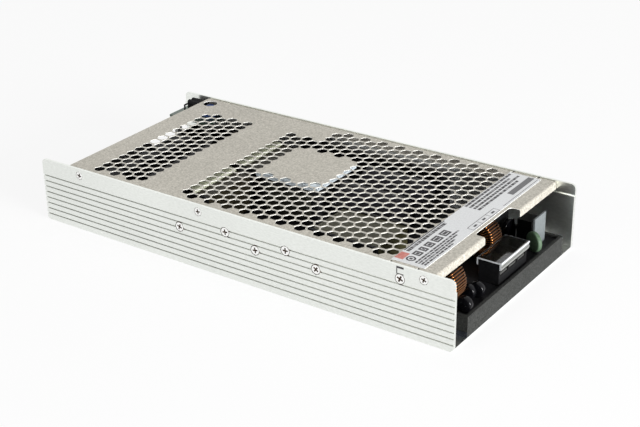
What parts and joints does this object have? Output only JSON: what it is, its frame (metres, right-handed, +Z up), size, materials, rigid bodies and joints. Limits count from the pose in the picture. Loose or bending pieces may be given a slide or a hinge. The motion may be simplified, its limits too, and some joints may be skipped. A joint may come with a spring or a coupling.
{
  "type": "enclosed switching power supply",
  "caption": "long low fanless power supply: ribbed aluminium channel, cover punched with hexagons, terminals in an open bay at each end, potted circuit tray inside",
  "frame": {"origin": "centre of the footprint, on the surface the supply rests on", "axes": "X along the supply from the output end to the input end, Y across it, Z up"},
  "size_m": [0.29, 0.14, 0.041],
  "materials": {
    "body_aluminium": "satin anodised",
    "cover_sheet": "fine matt sheet",
    "label_film": "satin film",
    "screw_steel": "bright plated",
    "plated_steel": "plated",
    "liner_film": "thin film",
    "black_plastic": "moulded",
    "circuit_board": "solder mask",
    "potting_rubber": "cast",
    "clear_plastic": "clear moulding",
    "ferrite": "sintered",
    "copper_wire": "enamelled wire",
    "copper_strap": "tinned copper",
    "black_epoxy": "dipped",
    "green_epoxy": "dipped",
    "pale_plate": "sheet",
    "film_box": "moulded",
    "can_sleeve": "sleeved",
    "winding_tape": "tape",
    "heat_pad": "soft sheet",
    "heat_bar": "milled",
    "trimmer_blue": "moulded",
    "trimmer_white": "moulded"
  },
  "bodies": {
    "case": {"chassis": "body_aluminium", "top_cover": "cover_sheet", "rating_label": "label_film", "cover_screws": "screw_steel", "side_screws": "screw_steel", "earth_screw": "screw_steel", "mounting_nuts": "screw_steel", "insulating_liner": "liner_film", "potting_tray": "black_plastic", "main_board": "circuit_board", "potting_compound": "potting_rubber", "input_terminal_block": "black_plastic", "input_clamp_plates": "plated_steel", "input_terminal_screws": "plated_steel", "rear_choke_core": "ferrite", "rear_choke_winding": "copper_wire", "near_choke_core": "ferrite", "near_choke_winding": "copper_wire", "surge_limiters": "black_epoxy", "varistors": "green_epoxy", "barrier_plate": "pale_plate", "input_fuse": "black_plastic", "film_capacitor": "film_box", "bulk_capacitors": "can_sleeve", "transformer_core": "ferrite", "transformer_coil": "winding_tape", "transformer_heat_pad": "heat_pad", "resonant_choke_bobbins": "black_plastic", "resonant_choke_windings": "winding_tape", "boost_choke_bobbin": "black_plastic", "boost_choke_winding": "winding_tape", "near_heat_bar": "heat_bar", "far_heat_bar": "heat_bar", "near_transistors": "black_epoxy", "far_transistors": "black_epoxy", "output_terminal_block": "black_plastic", "output_bus_plates": "plated_steel", "output_screws": "plated_steel", "output_capacitors": "can_sleeve", "output_choke_core": "ferrite", "output_choke_strap": "copper_strap", "control_board": "circuit_board", "control_board_posts": "plated_steel", "signal_connector": "black_plastic", "trimmer_body": "trimmer_blue"},
    "terminal_cover": {"terminal_cover": "clear_plastic"},
    "trimmer_rotor": {"trimmer_rotor": "trimmer_white"}
  },
  "joints": [
    {"name": "terminal_cover_lift", "type": "slide", "parent": "case", "child": "terminal_cover", "axis": [0, 0, 1], "range_m": [0, 0.015]},
    {"name": "trimmer_turn", "type": "hinge", "parent": "case", "child": "trimmer_rotor", "pos_m": [-0.1164, 0.0602, 0.0374], "axis": [0, 0, 1], "range_deg": [-130, 130]}
  ]
}
